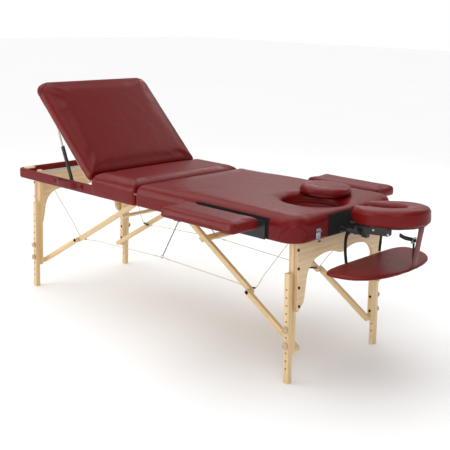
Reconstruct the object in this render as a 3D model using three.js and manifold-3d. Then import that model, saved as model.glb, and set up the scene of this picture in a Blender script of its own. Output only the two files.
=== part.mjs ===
// Portable massage table: two padded halves hinged at the middle, folding wooden legs, a lifting
// backrest, two armrests, a face cradle with an arm shelf below it, and a face-hole plug.
// Millimetres, +Z up, +X towards the head end. The model is drawn with x = 0 at the fold and the
// near side at -Y, then moved along X so that the whole object is centred on the origin.
import * as THREE from 'three';
import { mergeVertices } from 'three/addons/utils/BufferGeometryUtils.js';
import Module from 'manifold-3d';

const wasm = await Module();
wasm.setup();

// ---------------------------------------------------------------- driving dimensions
const GAP = 0.3;                    // clearance between pieces that touch
const HALF_LENGTH = 925;            // fold to end of each frame half
const HALF_WIDTH = 354;             // centre line to outer face of a side rail
const FRAME_Z = 587;                // underside of the frame
const RAIL_HEIGHT = 53;
const RAIL_THICK = 16;
const FOLD_GAP = 3;                 // each half stops this short of x = 0
const DECK_THICK = 5;
const TOP_Z = 695;                  // top of the cushions
const HEAD_CORNER_R = 70;           // plan radius of the head-end corners
const FOOT_CORNER_R = 28;

const LINK_PIN_X = 6;               // centre hinge: half the distance between its two pins
const LINK_PIN_Z = FRAME_Z - 4;

const LEG_HINGE_X = { left: -824, right: 863 };
const LEG_HINGE_Z = 617.5;
const LEG_SPLAY = THREE.MathUtils.degToRad(1.95);
const LOWER_LEG = { y: 310.5, wide: 27, thick: 26, top: 461, pitch: 33.3, lowestHole: 63, holes: 11 };
const UPPER_LEG = { y: 287, wide: 26, thick: 20, bottom: 117 };
const KNOB = { radius: 14, thick: 8, hub: 7, stand: 3.5, holesFromTop: [5, 7] };
const SPACER_R = 14;                 // boss between an upper leg and its brace
const PANEL = { thick: 18, halfWidth: 298.5, top: 608, clear: 2.7 };

const BRACE = {
  wide: 24, thick: 19.4, lowerY: 254.5, upperY: 234,
  pivotS: 483.8,                    // leg hinge to lower pivot, along the leg
  topX: { left: -35, right: 125 },
};
const CROSS_BAR = { fromTop: 235, wide: 26, thick: 12 };

const BACKREST = { hingeX: -320, hingeZ: 662, boardThick: 9, angle: 44.2, bevel: 30, cornerR: 62 };
const STRUT = { footX: -487, footZ: 612, y: 330, along: 367.8, below: 36.7, channel: 195, bar: 185 };

const HOLE = { x: 735, a: 133, b: 118 };
const PLUG = { x: 698, y: 136, a: 116, b: 100, thick: 38 };

const ARMREST = { x0: 386, x1: 790, y0: 408, y1: 562, z0: 643, z1: 690 };

// Face cradle, drawn level and then tipped up at the front about its pivot.
const CRADLE = {
  x: 1126, a: 157, b: 134, z0: 664, z1: 724,
  slot: 44, holeX: 1122, holeA: 66, holeB: 50, tilt: 4.5,
};
const CRADLE_PIVOT = { x: 1050, z: 642 };
const CRADLE_ROD = { y: 62, z: 613, r: 8, x0: 904 };

const SHELF = { z0: 482, z1: 496, x0: 996, x1: 1228, halfWidth: 292 };

// ---------------------------------------------------------------- materials
const material = (color, roughness, metalness = 0) =>
  new THREE.MeshStandardMaterial({ color, roughness, metalness });
const VINYL = material(0x6f1a1c, 0.45);
const WOOD = material(0xe2bd84, 0.6);
const PLY = material(0xd9b98a, 0.6);
const BLACK = material(0x151515, 0.5);
const GREY = material(0x3a3b3c, 0.5);
const STEEL = material(0xb9babb, 0.3, 1);
const CABLE = material(0xe6d6c4, 0.6);
const ROPE = material(0x7a5a3a, 0.8);
const WEBBING = material(0x101011, 0.8);

// ---------------------------------------------------------------- shape helpers
const table = new THREE.Group();

function add(name, geometry, mat, parent = table) {
  const mesh = new THREE.Mesh(geometry, mat);
  mesh.name = name;
  parent.add(mesh);
  return mesh;
}

// The range from a to b on one side of the centre line, in rising order; s is -1 near and +1 far.
function onSide(s, a, b) {
  return [Math.min(s * a, s * b), Math.max(s * a, s * b)];
}

function block(x0, x1, y0, y1, z0, z1) {
  const box = new THREE.BoxGeometry(x1 - x0, y1 - y0, z1 - z0);
  return box.translate((x0 + x1) / 2, (y0 + y1) / 2, (z0 + z1) / 2);
}

// A shape's own X and Y become the two axes named by the plane; it is extruded along the third.
function extrude(shape, plane, from, to, bevel = 0, curveSegments = 6) {
  const geometry = new THREE.ExtrudeGeometry(shape, {
    depth: to - from - 2 * bevel, curveSegments, bevelEnabled: bevel > 0,
    bevelThickness: bevel, bevelSize: bevel, bevelOffset: -bevel, bevelSegments: 1,
  });
  geometry.translate(0, 0, bevel);
  if (plane === 'xz') return geometry.rotateX(Math.PI / 2).translate(0, to, 0);
  if (plane === 'yz') {
    const turn = new THREE.Matrix4().makeBasis(
      new THREE.Vector3(0, 1, 0), new THREE.Vector3(0, 0, 1), new THREE.Vector3(1, 0, 0));
    return geometry.applyMatrix4(turn).translate(from, 0, 0);
  }
  return geometry.translate(0, 0, from);
}

function cylinder(axis, radius, from, to, a, b, sides = 16) {
  const rod = new THREE.CylinderGeometry(radius, radius, to - from, sides);
  const middle = (from + to) / 2;
  if (axis === 'y') return rod.translate(a, middle, b);
  if (axis === 'x') return rod.rotateZ(Math.PI / 2).translate(middle, a, b);
  return rod.rotateX(Math.PI / 2).translate(a, b, middle);
}

// Rectangle with its own radius at each corner, in the order (x0,y0), (x1,y0), (x1,y1), (x0,y1).
function roundedRect(path, x0, x1, y0, y1, r0, r1 = r0, r2 = r0, r3 = r0) {
  path.moveTo(x0 + r0, y0);
  path.lineTo(x1 - r1, y0);
  if (r1) path.absarc(x1 - r1, y0 + r1, r1, -Math.PI / 2, 0);
  path.lineTo(x1, y1 - r2);
  if (r2) path.absarc(x1 - r2, y1 - r2, r2, 0, Math.PI / 2);
  path.lineTo(x0 + r3, y1);
  if (r3) path.absarc(x0 + r3, y1 - r3, r3, Math.PI / 2, Math.PI);
  path.lineTo(x0, y0 + r0);
  if (r0) path.absarc(x0 + r0, y0 + r0, r0, Math.PI, 1.5 * Math.PI);
  return path;
}

function ellipse(path, x, y, a, b) {
  path.absellipse(x, y, a, b, 0, 2 * Math.PI, false, 0);
  return path;
}

// A bar with round ends between two points of the XZ plane.
function barShape(ax, az, bx, bz, wide) {
  const angle = Math.atan2(bz - az, bx - ax);
  const shape = new THREE.Shape();
  shape.absarc(ax, az, wide / 2, angle + Math.PI / 2, angle + 1.5 * Math.PI);
  shape.absarc(bx, bz, wide / 2, angle - Math.PI / 2, angle + Math.PI / 2);
  shape.closePath();
  return shape;
}

function polygon(points) {
  return new THREE.Shape(points.map(([x, y]) => new THREE.Vector2(x, y)));
}

function solid(geometry) {
  const bare = geometry.index ? geometry.toNonIndexed() : geometry.clone();
  bare.deleteAttribute('normal');
  bare.deleteAttribute('uv');
  const merged = mergeVertices(bare, 1e-4);
  return new wasm.Manifold(new wasm.Mesh({
    numProp: 3,
    vertProperties: new Float32Array(merged.attributes.position.array),
    triVerts: new Uint32Array(merged.index.array),
  }));
}

function surface(body) {
  const mesh = body.getMesh();
  const geometry = new THREE.BufferGeometry();
  geometry.setAttribute('position', new THREE.BufferAttribute(new Float32Array(mesh.vertProperties), 3));
  geometry.setIndex(new THREE.BufferAttribute(new Uint32Array(mesh.triVerts), 1));
  const flat = geometry.toNonIndexed();
  flat.computeVertexNormals();
  return flat;
}

const join = (...geometries) => surface(geometries.map(solid).reduce((a, b) => a.add(b)));
const cut = (from, ...tools) => surface(tools.map(solid).reduce((a, b) => a.subtract(b), solid(from)));

// A tube of small section along straight runs, with the corners eased.
function cord(points, radius, steps) {
  const path = new THREE.CatmullRomCurve3(points, false, 'chordal', 0.5);
  const section = new THREE.Shape();
  section.absarc(0, 0, radius, 0, 2 * Math.PI);
  return new THREE.ExtrudeGeometry(section, { steps, extrudePath: path, curveSegments: 4 });
}

const along = (a, b, t) => new THREE.Vector3().lerpVectors(a, b, t);

// ---------------------------------------------------------------- frame halves
const railTop = FRAME_Z + RAIL_HEIGHT;
const railInner = HALF_WIDTH - RAIL_THICK;

// side is -1 for the backrest half and +1 for the head half.
function frameHalf(side) {
  const end = side * HALF_LENGTH;
  const fold = side * FOLD_GAP;
  const radius = side > 0 ? HEAD_CORNER_R : FOOT_CORNER_R;
  const x0 = Math.min(end, fold);
  const x1 = Math.max(end, fold);
  const [r0, r1] = side > 0 ? [0, radius] : [radius, 0];
  const outline = roundedRect(new THREE.Shape(), x0, x1, -HALF_WIDTH, HALF_WIDTH, r0, r1, r1, r0);
  const inside = [Math.max(r0 - RAIL_THICK, 0), Math.max(r1 - RAIL_THICK, 0)];
  outline.holes.push(roundedRect(new THREE.Path(), x0 + RAIL_THICK, x1 - RAIL_THICK,
    -railInner, railInner, inside[0], inside[1], inside[1], inside[0]));
  return extrude(outline, 'xy', FRAME_Z, railTop);
}

function rodHoles() {
  return [-1, 1].map((s) => cylinder('x', CRADLE_ROD.r + GAP, HALF_LENGTH - 40, HALF_LENGTH + 10,
    s * CRADLE_ROD.y, CRADLE_ROD.z));
}

add('left_frame', frameHalf(-1), VINYL);
add('right_frame', cut(frameHalf(1), ...rodHoles()), VINYL);

const deckBottom = railTop + GAP;
const deckTop = deckBottom + DECK_THICK;
const deckHalfWidth = HALF_WIDTH - 2;
add('left_deck', block(BACKREST.hingeX + 4, -FOLD_GAP, -deckHalfWidth, deckHalfWidth,
  deckBottom, deckTop), PLY);

const rightDeck = roundedRect(new THREE.Shape(), FOLD_GAP, HALF_LENGTH - 2,
  -deckHalfWidth, deckHalfWidth, 0, HEAD_CORNER_R, HEAD_CORNER_R, 0);
rightDeck.holes.push(ellipse(new THREE.Path(), HOLE.x, 0, HOLE.a + 4, HOLE.b + 4));
add('right_deck', extrude(rightDeck, 'xy', deckBottom, deckTop), PLY);

// Plywood blocks in the open corners of the backrest half.
for (const [name, s] of [['near', -1], ['far', 1]]) {
  const corner = -HALF_LENGTH + RAIL_THICK + GAP;
  const shape = new THREE.Shape();
  shape.moveTo(corner + 14, s * (railInner - GAP));
  shape.lineTo(corner + 46, s * (railInner - GAP));
  shape.lineTo(corner + 46, s * (railInner - 34));
  shape.quadraticCurveTo(corner + 46, s * (railInner - 62), corner + 22, s * (railInner - 62));
  shape.lineTo(corner, s * (railInner - 62));
  shape.lineTo(corner, s * (railInner - 14));
  shape.closePath();
  add(`corner_block_${name}`, extrude(shape, 'xy', LEG_HINGE_Z + 17, railTop - GAP, 1), PLY);
}

// ---------------------------------------------------------------- fixed cushions and plug
const cushionBottom = deckTop + GAP;
const bevelRun = (TOP_Z - BACKREST.hingeZ) * Math.tan(THREE.MathUtils.degToRad(BACKREST.bevel));
const leftCushion = polygon([
  [-FOLD_GAP + 2, cushionBottom], [-FOLD_GAP + 2, TOP_Z],
  [BACKREST.hingeX + 2 + bevelRun, TOP_Z], [BACKREST.hingeX + 2, BACKREST.hingeZ],
  [BACKREST.hingeX + 2, cushionBottom],
]);
add('left_cushion', extrude(leftCushion, 'xz', -HALF_WIDTH, HALF_WIDTH), VINYL);

const rightCushion = roundedRect(new THREE.Shape(), FOLD_GAP - 2, HALF_LENGTH + 4,
  -HALF_WIDTH, HALF_WIDTH, 0, HEAD_CORNER_R, HEAD_CORNER_R, 0);
rightCushion.holes.push(ellipse(new THREE.Path(), HOLE.x, 0, HOLE.a, HOLE.b));
add('right_cushion', extrude(rightCushion, 'xy', cushionBottom, TOP_Z, 0, 8), VINYL);

add('face_plug', extrude(ellipse(new THREE.Shape(), PLUG.x, PLUG.y, PLUG.a, PLUG.b), 'xy',
  TOP_Z + GAP, TOP_Z + GAP + PLUG.thick, 6, 7), VINYL);

// ---------------------------------------------------------------- centre hinge
// A link plate under the fold, with a pin in each half, lets the halves close flat face to face.
const linkHalf = 300;
add('hinge_link', join(
  block(-LINK_PIN_X, LINK_PIN_X, -linkHalf, linkHalf, LINK_PIN_Z - 2, LINK_PIN_Z + 2),
  cylinder('y', 3.2, -linkHalf, linkHalf, -LINK_PIN_X, LINK_PIN_Z, 12),
  cylinder('y', 3.2, -linkHalf, linkHalf, LINK_PIN_X, LINK_PIN_Z, 12),
), STEEL);

// ---------------------------------------------------------------- backrest
// Drawn flat, relative to its hinge axis, inside a group that is raised to the resting angle.
const backrest = new THREE.Group();
backrest.position.set(BACKREST.hingeX, 0, BACKREST.hingeZ);
backrest.rotation.y = THREE.MathUtils.degToRad(BACKREST.angle);
table.add(backrest);

const backrestLength = HALF_LENGTH + BACKREST.hingeX;
const boardBottom = deckBottom + GAP - BACKREST.hingeZ;
const boardTop = boardBottom + BACKREST.boardThick;
const backTop = TOP_Z - BACKREST.hingeZ;
const boardCorner = BACKREST.cornerR - 4;
const boardOutline = roundedRect(new THREE.Shape(), -backrestLength + 4, -4,
  -deckHalfWidth, deckHalfWidth, boardCorner, 0, 0, boardCorner);
add('backrest_board', extrude(boardOutline, 'xy', boardBottom, boardTop), PLY, backrest);

const backrestOutline = roundedRect(new THREE.Shape(), -backrestLength, -2,
  -HALF_WIDTH, HALF_WIDTH, BACKREST.cornerR, 0, 0, BACKREST.cornerR);
const bevelWedge = polygon([[-2, 0], [-2 - bevelRun * 1.5, backTop * 1.5], [20, backTop * 1.5], [20, 0]]);
add('backrest_cushion', cut(
  extrude(backrestOutline, 'xy', boardTop + GAP, backTop),
  extrude(bevelWedge, 'xz', -HALF_WIDTH - 5, HALF_WIDTH + 5),
), VINYL, backrest);

// Telescopic struts: a channel that turns on the frame and a bar that turns on the backrest.
const raised = THREE.MathUtils.degToRad(BACKREST.angle);
const strutHeadX = BACKREST.hingeX - STRUT.along * Math.cos(raised) - STRUT.below * Math.sin(raised);
const strutHeadZ = BACKREST.hingeZ + STRUT.along * Math.sin(raised) - STRUT.below * Math.cos(raised);
const strutAngle = Math.atan2(strutHeadZ - STRUT.footZ, strutHeadX - STRUT.footX);
const strutReach = Math.hypot(strutHeadX - STRUT.footX, strutHeadZ - STRUT.footZ);

function strutChannel() {
  const outer = block(-8, STRUT.channel, -5.5, 5.5, -8, 8);
  const groove = block(-20, STRUT.channel + 5, -3.6, 9, -6, 6);
  const holes = [0, 1, 2, 3, 4].map((i) => cylinder('y', 2.4, -9, 0, 60 + 28 * i, 0, 8));
  return cut(outer, groove, ...holes);
}

for (const [name, s] of [['near', -1], ['far', 1]]) {
  const strut = new THREE.Group();
  strut.position.set(STRUT.footX, s * STRUT.y, STRUT.footZ);
  strut.rotation.y = -strutAngle;
  table.add(strut);
  const turned = new THREE.Group();
  turned.rotation.x = s > 0 ? Math.PI : 0;
  strut.add(turned);
  add(`strut_channel_${name}`, strutChannel(), BLACK, turned);
  const bar = barShape(strutReach - STRUT.bar, 0, strutReach, 0, 10);
  add(`strut_bar_${name}`, extrude(bar, 'xz', -3, 3, 0.8, 5), STEEL, turned);
}

// ---------------------------------------------------------------- carry handle
const HANDLE = { x0: -607, x1: -382, tab: 38, stand: 20, thick: 4, z0: 602, z1: 634 };
const strapFace = -HALF_WIDTH - GAP;
const handleShape = new THREE.Shape();
const gripX = [HANDLE.x0 + HANDLE.tab, HANDLE.x1 - HANDLE.tab];
const eased = 26;
handleShape.moveTo(HANDLE.x0, strapFace);
handleShape.lineTo(gripX[0], strapFace);
handleShape.quadraticCurveTo(gripX[0] + eased / 2, strapFace - HANDLE.stand,
  gripX[0] + eased, strapFace - HANDLE.stand);
handleShape.lineTo(gripX[1] - eased, strapFace - HANDLE.stand);
handleShape.quadraticCurveTo(gripX[1] - eased / 2, strapFace - HANDLE.stand, gripX[1], strapFace);
handleShape.lineTo(HANDLE.x1, strapFace);
handleShape.lineTo(HANDLE.x1, strapFace - HANDLE.thick);
handleShape.lineTo(gripX[1] + 2, strapFace - HANDLE.thick);
handleShape.quadraticCurveTo(gripX[1] - eased / 2 + 6, strapFace - HANDLE.stand - HANDLE.thick,
  gripX[1] - eased, strapFace - HANDLE.stand - HANDLE.thick);
handleShape.lineTo(gripX[0] + eased, strapFace - HANDLE.stand - HANDLE.thick);
handleShape.quadraticCurveTo(gripX[0] + eased / 2 - 6, strapFace - HANDLE.stand - HANDLE.thick,
  gripX[0] - 2, strapFace - HANDLE.thick);
handleShape.lineTo(HANDLE.x0, strapFace - HANDLE.thick);
handleShape.closePath();
add('carry_handle', extrude(handleShape, 'xy', HANDLE.z0, HANDLE.z1), VINYL);

// ---------------------------------------------------------------- leg sets
// Each brace pair lies in line when the leg stands, and doubles back flat when it is folded: the
// two lengths follow from those two states. x and z are places on the standing leg set.
function braceLink(half) {
  const side = half === 'left' ? -1 : 1;
  const hinge = LEG_HINGE_X[half];
  const top = { x: BRACE.topX[half], z: LEG_HINGE_Z };
  const foot = {
    x: hinge + side * BRACE.pivotS * Math.sin(LEG_SPLAY),
    z: LEG_HINGE_Z - BRACE.pivotS * Math.cos(LEG_SPLAY),
  };
  const span = Math.hypot(foot.x - top.x, top.z - foot.z);
  const foldedSpan = Math.abs(hinge - top.x) - BRACE.pivotS;
  const lower = (span - foldedSpan) / 2;
  const elbow = {
    x: foot.x + (top.x - foot.x) * lower / span,
    z: foot.z + (top.z - foot.z) * lower / span,
  };
  return { side, hinge, top, foot, elbow, lower, upper: span - lower };
}
const LINKS = { left: braceLink('left'), right: braceLink('right') };

// Heights measured up from the floor, turned into distances down the leg from its pivot.
const down = (z) => (z - LEG_HINGE_Z) / Math.cos(LEG_SPLAY);

function lowerLeg(side, s) {
  const { wide, thick, top, pitch, lowestHole, holes } = LOWER_LEG;
  const y = s * LOWER_LEG.y;
  const section = roundedRect(new THREE.Shape(), -wide / 2, wide / 2, y - thick / 2, y + thick / 2, 4);
  const post = extrude(section, 'xy', down(0) - 2, down(top), 0, 2);
  const floor = block(-60, 60, y - 60, y + 60, -60, 0);
  floor.translate(0, 0, -LEG_HINGE_Z).rotateY(side * LEG_SPLAY);
  const bores = Array.from({ length: holes }, (_, i) => cylinder('y', 3.4, y - 20, y + 20,
    0, down(lowestHole + pitch * i), 8));
  return cut(post, floor, ...bores);
}

function upperLeg(s) {
  const { wide, thick, bottom } = UPPER_LEG;
  const y = s * UPPER_LEG.y;
  const section = roundedRect(new THREE.Shape(), -wide / 2, wide / 2, y - thick / 2, y + thick / 2, 2.5);
  const post = extrude(section, 'xy', down(bottom), 13, 0, 1);
  const spacerIn = BRACE.lowerY + BRACE.thick / 2 + GAP;
  const spacerOut = UPPER_LEG.y - thick / 2 + 1;
  const spacer = cylinder('y', SPACER_R, ...onSide(s, spacerIn, spacerOut), 0, -BRACE.pivotS);
  const bore = cylinder('y', 8.4, y - 20, y + 20, 0, 0);
  return cut(join(post, spacer), bore);
}

// The end panel's lower edge: a tail down each leg, then two arches with a low point between.
function legPanel() {
  const w = PANEL.halfWidth;
  const shape = new THREE.Shape();
  shape.moveTo(-w, down(PANEL.top));
  shape.lineTo(-w, down(306));
  shape.quadraticCurveTo(-w + 2, down(301), -w + 8, down(305));
  shape.quadraticCurveTo(-258, down(326), -251, down(352));
  shape.lineTo(-238, down(432));
  shape.quadraticCurveTo(-226, down(496), -160, down(509));
  shape.bezierCurveTo(-105, down(521), -62, down(518), -28, down(502));
  shape.quadraticCurveTo(0, down(490), 28, down(502));
  shape.bezierCurveTo(62, down(518), 105, down(521), 160, down(509));
  shape.quadraticCurveTo(226, down(496), 238, down(432));
  shape.lineTo(251, down(352));
  shape.quadraticCurveTo(258, down(326), w - 8, down(305));
  shape.quadraticCurveTo(w - 2, down(301), w, down(306));
  shape.lineTo(w, down(PANEL.top));
  shape.closePath();
  return shape;
}

function knob(s) {
  const face = LOWER_LEG.y + LOWER_LEG.thick / 2 + GAP;
  const hub = cylinder('y', KNOB.hub, ...onSide(s, face, face + KNOB.stand + 0.5), 0, 0, 12);
  const rim = face + KNOB.stand;
  const wheel = ellipse(new THREE.Shape(), 0, 0, KNOB.radius, KNOB.radius);
  const disc = extrude(wheel, 'xz', ...onSide(s, rim, rim + KNOB.thick), 1.5, 5);
  return join(hub, disc);
}

function upperBraces({ side, top, elbow }) {
  const bars = [-1, 1].map((s) => {
    const y = s * BRACE.upperY;
    return extrude(barShape(top.x, top.z, elbow.x, elbow.z, BRACE.wide),
      'xz', y - BRACE.thick / 2, y + BRACE.thick / 2, 1.5, 5);
  });
  // The cross bar lies on the underside of the two bars.
  const slope = Math.atan2(top.z - elbow.z, Math.abs(elbow.x - top.x));
  const corner = (t, w) => [
    top.x + side * (t * Math.cos(slope) - w * Math.sin(slope)),
    top.z - t * Math.sin(slope) - w * Math.cos(slope),
  ];
  const [t0, t1] = [CROSS_BAR.fromTop - CROSS_BAR.wide / 2, CROSS_BAR.fromTop + CROSS_BAR.wide / 2];
  const [w0, w1] = [BRACE.wide / 2 - 1, BRACE.wide / 2 + CROSS_BAR.thick];
  const reach = BRACE.upperY + BRACE.thick / 2 - 0.5;
  const outline = polygon([corner(t0, w0), corner(t1, w0), corner(t1, w1), corner(t0, w1)]);
  const bar = extrude(outline, 'xz', -reach, reach);
  return join(...bars, bar);
}

for (const [half, link] of Object.entries(LINKS)) {
  const { side, hinge, foot, elbow } = link;
  const legs = new THREE.Group();
  legs.position.set(hinge, 0, LEG_HINGE_Z);
  legs.rotation.y = -side * LEG_SPLAY;
  table.add(legs);

  for (const [name, s] of [['near', -1], ['far', 1]]) {
    add(`${half}_upper_leg_${name}`, upperLeg(s), WOOD, legs);
    add(`${half}_lower_leg_${name}`, lowerLeg(side, s), WOOD, legs);
    KNOB.holesFromTop.forEach((hole, i) => {
      const z = LOWER_LEG.lowestHole + LOWER_LEG.pitch * (LOWER_LEG.holes - 1 - hole);
      const wheel = add(`${half}_knob_${name}_${i + 1}`, knob(s), PLY, legs);
      wheel.position.z = down(z);
    });
    const y = s * BRACE.lowerY;
    add(`${half}_lower_brace_${name}`, extrude(barShape(foot.x, foot.z, elbow.x, elbow.z, BRACE.wide),
      'xz', y - BRACE.thick / 2, y + BRACE.thick / 2, 1.5, 5), WOOD);
  }

  const inner = side * (LOWER_LEG.wide / 2 + PANEL.clear);
  const outer = inner + side * PANEL.thick;
  add(`${half}_end_panel`, extrude(legPanel(), 'yz', Math.min(inner, outer), Math.max(inner, outer), 1.5, 5),
    PLY, legs);
  add(`${half}_leg_rod`, cylinder('y', 8, -railInner + 5, railInner - 5, hinge, LEG_HINGE_Z), STEEL);
  add(`${half}_upper_brace`, upperBraces(link), WOOD);
}

// ---------------------------------------------------------------- cables and centre rope
const CORD_Y = { corner: 262, elbow: 217, ring: 192 };
const RING_X = 8;
const RING_Z = { near: 318, far: 345 };
const CABLE_R = 1.6;
for (const [name, s] of [['near', -1], ['far', 1]]) {
  for (const [half, link] of Object.entries(LINKS)) {
    const { side, hinge } = link;
    const corner = new THREE.Vector3(hinge - side * 14, s * CORD_Y.corner, LEG_HINGE_Z - 14);
    const elbow = new THREE.Vector3(link.elbow.x, s * CORD_Y.elbow, link.elbow.z + 8);
    const ring = new THREE.Vector3(RING_X + side * 1.2, s * CORD_Y.ring, RING_Z[name]);
    const points = [corner, along(corner, elbow, 0.5), along(corner, elbow, 0.95), elbow,
      along(elbow, ring, 0.03), along(elbow, ring, 0.5), ring];
    add(`${half}_cable_${name}`, cord(points, CABLE_R, 26), CABLE);
  }
}
const apex = new THREE.Vector3(-4, 0, LINK_PIN_Z - 6);
const ropeEnds = [['near', -1], ['far', 1]].map(([name, s]) =>
  new THREE.Vector3(RING_X, s * (CORD_Y.ring - 6), RING_Z[name] + 6));
add('centre_rope', cord([ropeEnds[0], along(apex, ropeEnds[0], 0.5), along(apex, ropeEnds[0], 0.04), apex,
  along(apex, ropeEnds[1], 0.04), along(apex, ropeEnds[1], 0.5), ropeEnds[1]], 2.2, 30), ROPE);

// ---------------------------------------------------------------- armrests
for (const [name, s] of [['near', -1], ['far', 1]]) {
  const [y0, y1] = onSide(s, ARMREST.y0, ARMREST.y1);
  add(`armrest_pad_${name}`, extrude(roundedRect(new THREE.Shape(), ARMREST.x0, ARMREST.x1, y0, y1, 14), 'xy',
    ARMREST.z0, ARMREST.z1, 4, 3), VINYL);
  const [p0, p1] = onSide(s, HALF_WIDTH + GAP, HALF_WIDTH + 7);
  const [a0, a1] = onSide(s, HALF_WIDTH + 6, ARMREST.y1 - 30);
  add(`armrest_bracket_${name}`, join(
    block(ARMREST.x0 + 20, ARMREST.x1 - 12, p0, p1, FRAME_Z + 3, ARMREST.z0 + 22),
    block(ARMREST.x0 + 50, ARMREST.x0 + 90, a0, a1, ARMREST.z0 - 10, ARMREST.z0 - GAP),
    block(ARMREST.x1 - 90, ARMREST.x1 - 50, a0, a1, ARMREST.z0 - 10, ARMREST.z0 - GAP),
  ), BLACK);
}

// ---------------------------------------------------------------- end latch
const LATCH = { y: -214, z: 628, x: HALF_LENGTH + 4 };
add('end_latch', join(
  cylinder('y', 4, LATCH.y - 14, LATCH.y + 14, LATCH.x + 5, LATCH.z, 12),
  block(LATCH.x + 2.5, LATCH.x + 5.5, LATCH.y - 9, LATCH.y + 9, LATCH.z - 42, LATCH.z),
  cylinder('y', 4.5, LATCH.y - 9, LATCH.y + 9, LATCH.x + 7, LATCH.z - 42, 10),
), STEEL);

// ---------------------------------------------------------------- face cradle
const pivotTube = 105;
add('cradle_base', join(
  ...[-1, 1].map((s) => cylinder('x', CRADLE_ROD.r, CRADLE_ROD.x0, CRADLE_PIVOT.x + 6,
    s * CRADLE_ROD.y, CRADLE_ROD.z)),
  ...[-1, 1].map((s) => block(CRADLE_PIVOT.x - 12, CRADLE_PIVOT.x + 12,
    s * CRADLE_ROD.y - 11, s * CRADLE_ROD.y + 11, CRADLE_ROD.z - 11, CRADLE_PIVOT.z + 4)),
  cylinder('y', 9, -pivotTube, pivotTube, CRADLE_PIVOT.x, CRADLE_PIVOT.z),
), GREY);

// Horseshoe outline, open towards the table.
function horseshoe(inset) {
  const a = CRADLE.a - inset;
  const b = CRADLE.b - inset;
  const slot = CRADLE.slot + inset;
  const open = Math.PI - 0.62;
  const shape = new THREE.Shape();
  shape.absellipse(CRADLE.x, 0, a, b, -open, open, false, 0);
  shape.lineTo(CRADLE.x - a + 8, slot + 24);
  shape.quadraticCurveTo(CRADLE.x - a + 6, slot, CRADLE.x - a + 34, slot);
  shape.lineTo(CRADLE.holeX - 20, slot + 4);
  shape.absellipse(CRADLE.holeX, 0, CRADLE.holeA + inset, CRADLE.holeB + inset,
    Math.PI / 2, -Math.PI / 2, true, 0);
  shape.lineTo(CRADLE.holeX - 20, -slot - 4);
  shape.lineTo(CRADLE.x - a + 34, -slot);
  shape.quadraticCurveTo(CRADLE.x - a + 6, -slot, CRADLE.x - a + 8, -slot - 24);
  shape.closePath();
  return shape;
}

// Everything on the tilting plate is placed relative to the pivot.
const tilting = new THREE.Group();
tilting.position.set(CRADLE_PIVOT.x, 0, CRADLE_PIVOT.z);
tilting.rotation.y = -THREE.MathUtils.degToRad(CRADLE.tilt);
table.add(tilting);
const fromPivot = (geometry) => geometry.translate(-CRADLE_PIVOT.x, 0, -CRADLE_PIVOT.z);
add('cradle_pad', fromPivot(extrude(horseshoe(0), 'xy', CRADLE.z0, CRADLE.z1, 0, 8)), VINYL, tilting);

const PLATFORM_BOTTOM = CRADLE.z0 - 9;
const bracketY = [111, 116];
const bracketShape = polygon([[1032, PLATFORM_BOTTOM + 1], [1032, 636], [1044, 629], [1186, 629], [1198, 636],
  [1200, PLATFORM_BOTTOM + 1]]);
add('cradle_platform', fromPivot(join(
  extrude(horseshoe(10), 'xy', PLATFORM_BOTTOM, CRADLE.z0 - GAP, 0, 6),
  ...[-1, 1].map((s) => extrude(bracketShape, 'xz', ...onSide(s, ...bracketY))),
)), BLACK, tilting);

const CAM = { y: -(bracketY[1] + GAP), length: 44 };
add('cradle_cam', fromPivot(join(
  cylinder('y', 13, CAM.y - 22, CAM.y, CRADLE_PIVOT.x, CRADLE_PIVOT.z - 4, 14),
  block(CRADLE_PIVOT.x - CAM.length, CRADLE_PIVOT.x, CAM.y - 18, CAM.y - 6,
    CRADLE_PIVOT.z - 10, CRADLE_PIVOT.z + 1),
)), BLACK, tilting);

// ---------------------------------------------------------------- arm shelf
const shelf = new THREE.Shape();
const shelfEnd = SHELF.x0 + 44;        // where the ends are widest
shelf.moveTo(SHELF.x0, -150);
shelf.quadraticCurveTo(SHELF.x0 + 2, -SHELF.halfWidth + 26, shelfEnd, -SHELF.halfWidth);
shelf.bezierCurveTo(SHELF.x1 - 68, -SHELF.halfWidth, SHELF.x1, -210, SHELF.x1, 0);
shelf.bezierCurveTo(SHELF.x1, 210, SHELF.x1 - 68, SHELF.halfWidth, shelfEnd, SHELF.halfWidth);
shelf.quadraticCurveTo(SHELF.x0 + 2, SHELF.halfWidth - 26, SHELF.x0, 150);
shelf.closePath();
add('arm_shelf', extrude(shelf, 'xy', SHELF.z0, SHELF.z1, 4, 5), VINYL);

// A flat strap from one point to another, with its width along Y.
function strap(from, to, width, thick) {
  const run = new THREE.Vector3().subVectors(to, from);
  const length = run.length();
  run.normalize();
  const across = new THREE.Vector3(0, 1, 0).addScaledVector(run, -run.y).normalize();
  const basis = new THREE.Matrix4().makeBasis(across, new THREE.Vector3().crossVectors(run, across), run);
  return block(-width / 2, width / 2, -thick / 2, thick / 2, 0, length).applyMatrix4(basis)
    .translate(from.x, from.y, from.z);
}
add('shelf_strap_near', strap(new THREE.Vector3(968, -84, 602), new THREE.Vector3(1020, -140, SHELF.z1 + 5.5),
  20, 1.6), WEBBING);
add('shelf_strap_far', strap(new THREE.Vector3(1246, 28, 667), new THREE.Vector3(1218, 40, SHELF.z1 + 3),
  44, 2), VINYL);

// ---------------------------------------------------------------- place the origin
table.position.x = -(CRADLE.x + CRADLE.a - HALF_LENGTH) / 2;
export default table;
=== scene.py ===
import math

import bmesh
import bpy
import numpy as np
from mathutils import Matrix, Vector
from mathutils.bvhtree import BVHTree
from mathutils.kdtree import KDTree


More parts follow.
